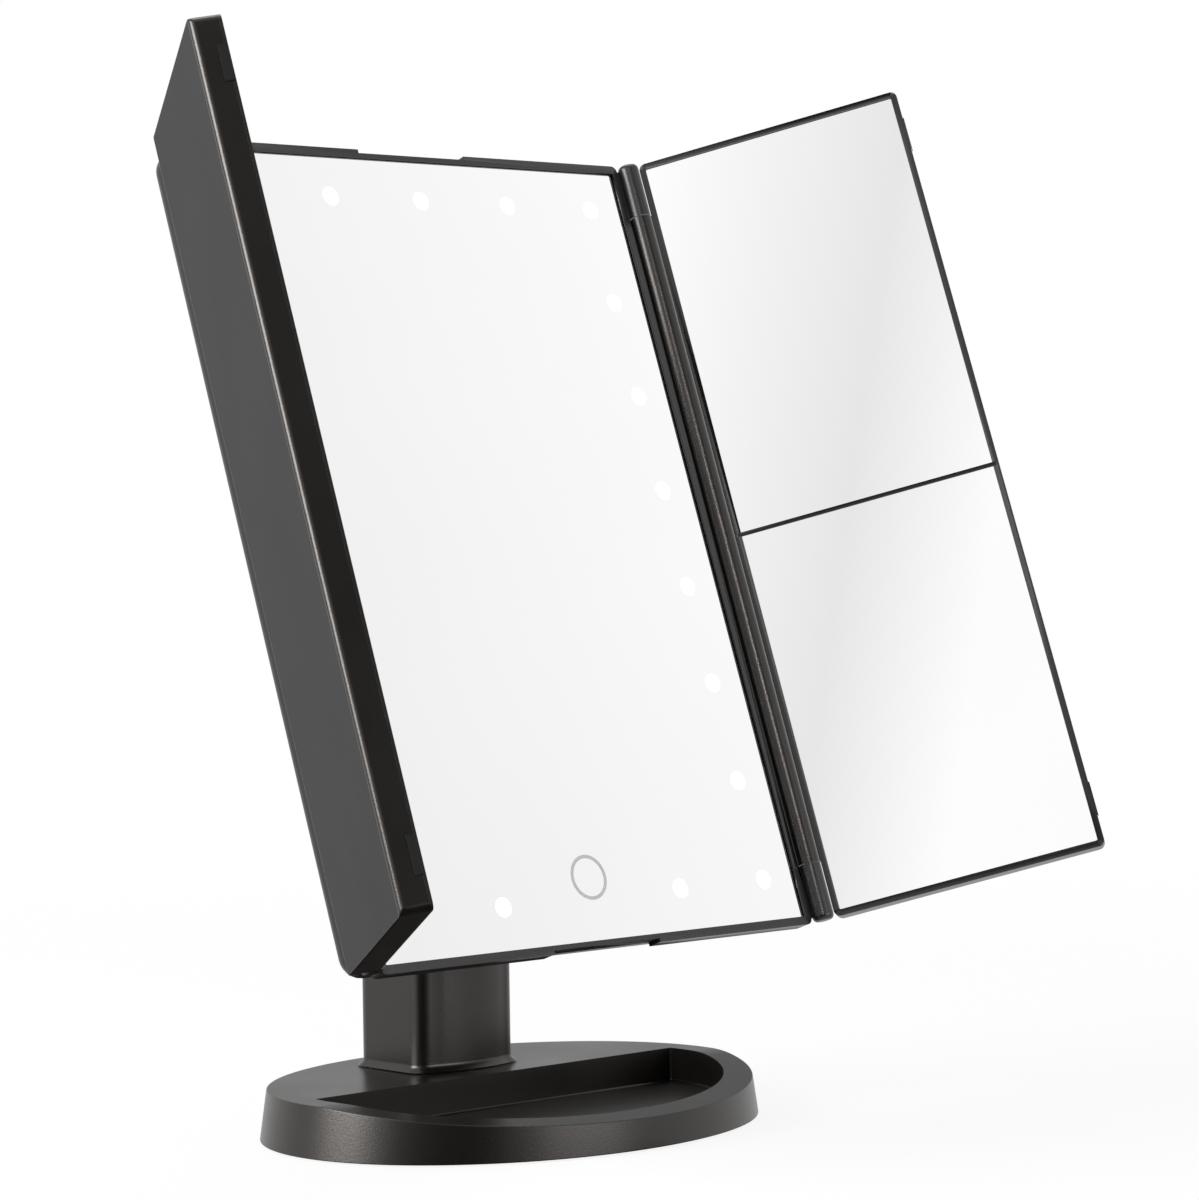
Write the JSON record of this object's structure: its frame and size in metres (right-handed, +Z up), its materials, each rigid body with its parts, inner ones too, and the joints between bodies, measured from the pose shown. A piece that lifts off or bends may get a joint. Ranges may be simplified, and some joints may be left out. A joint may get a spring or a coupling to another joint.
{
  "type": "lighted makeup mirror",
  "caption": "Three-panel lighted makeup mirror with folding side mirrors, touch-lit main glass, tilting head and an oval base with a tray.",
  "frame": {"origin": "middle of the base's rubber pad, on the table", "axes": "+Z up, +X to the user's right, -Y towards the user who looks into the mirror"},
  "size_m": [0.2754, 0.1731, 0.3034],
  "materials": {
    "black_plastic": "satin black moulded ABS",
    "frame_plastic": "satin black moulded ABS",
    "mirror_glass": "silvered float glass",
    "screw_steel": "zinc-plated steel",
    "contact_steel": "nickel-plated steel strip",
    "ballast_iron": "cut plate",
    "pad_rubber": "matt EVA rubber",
    "white_plastic": "white diffusing acrylic",
    "led_board": "white solder mask",
    "circuit_board": "green solder mask",
    "copper": "bare copper",
    "cell_sleeve": "plain printed sleeve",
    "backing_foam": "closed-cell foam"
  },
  "bodies": {
    "stand": {"base_shell": "black_plastic", "base_cover": "black_plastic", "base_pad": "pad_rubber", "ballast_plate": "ballast_iron", "base_screw_1": "screw_steel", "base_screw_2": "screw_steel", "base_screw_3": "screw_steel", "base_screw_4": "screw_steel", "column": "black_plastic", "column_screw_1": "screw_steel", "column_screw_2": "screw_steel"},
    "head": {"tilt_bracket": "black_plastic", "bracket_screw_1": "screw_steel", "bracket_screw_2": "screw_steel", "tilt_bolt": "screw_steel", "tilt_nut": "screw_steel", "friction_washer_left": "screw_steel", "friction_washer_right": "screw_steel", "hinge_cap_left": "black_plastic", "hinge_cap_right": "black_plastic", "front_frame": "frame_plastic", "main_mirror": "mirror_glass", "hinge_pin_right_upper": "screw_steel", "hinge_pin_right_lower": "screw_steel", "hinge_pin_left_upper": "screw_steel", "hinge_pin_left_lower": "screw_steel", "mirror_carrier": "white_plastic", "led_board": "led_board", "touch_electrode": "copper", "rear_housing": "black_plastic", "housing_screw_1": "screw_steel", "housing_screw_2": "screw_steel", "housing_screw_3": "screw_steel", "housing_screw_4": "screw_steel", "battery_cell_1": "cell_sleeve", "battery_cell_2": "cell_sleeve", "battery_cell_3": "cell_sleeve", "battery_cell_4": "cell_sleeve", "battery_contact_lower": "contact_steel", "battery_contact_upper": "contact_steel", "control_board": "circuit_board", "usb_socket": "contact_steel", "switch_body": "contact_steel", "board_lead": "white_plastic"},
    "battery_cover": {"battery_door": "black_plastic"},
    "power_slider": {"switch_knob": "black_plastic"},
    "right_wing": {"right_wing_shell": "black_plastic", "right_wing_backing": "backing_foam", "right_wing_bezel": "frame_plastic", "right_upper_mirror": "mirror_glass", "right_lower_mirror": "mirror_glass"},
    "left_wing": {"left_wing_shell": "black_plastic", "left_wing_backing": "backing_foam", "left_wing_bezel": "frame_plastic", "left_mirror": "mirror_glass"}
  },
  "joints": [
    {"name": "head_tilt", "type": "hinge", "parent": "stand", "child": "head", "pos_m": [0, 0.027, 0.118], "axis": [-1, 0, 0], "range_deg": [-24.4, 30.6]},
    {"name": "right_wing_hinge", "type": "hinge", "parent": "head", "child": "right_wing", "pos_m": [0.08505, -0.00234, 0.16714], "axis": [0, -0.3322, -0.9432], "range_deg": [-50.5, 129.5]},
    {"name": "left_wing_hinge", "type": "hinge", "parent": "head", "child": "left_wing", "pos_m": [-0.08505, -0.00234, 0.16714], "axis": [0, 0.3322, 0.9432], "range_deg": [-62, 118]},
    {"name": "power_switch_slide", "type": "slide", "parent": "head", "child": "power_slider", "axis": [0, 0.3322, 0.9432], "range_m": [-0.004, 0]},
    {"name": "battery_door_slide", "type": "slide", "parent": "head", "child": "battery_cover", "axis": [0, 0.3322, 0.9432], "range_m": [0, 0.066]}
  ]
}
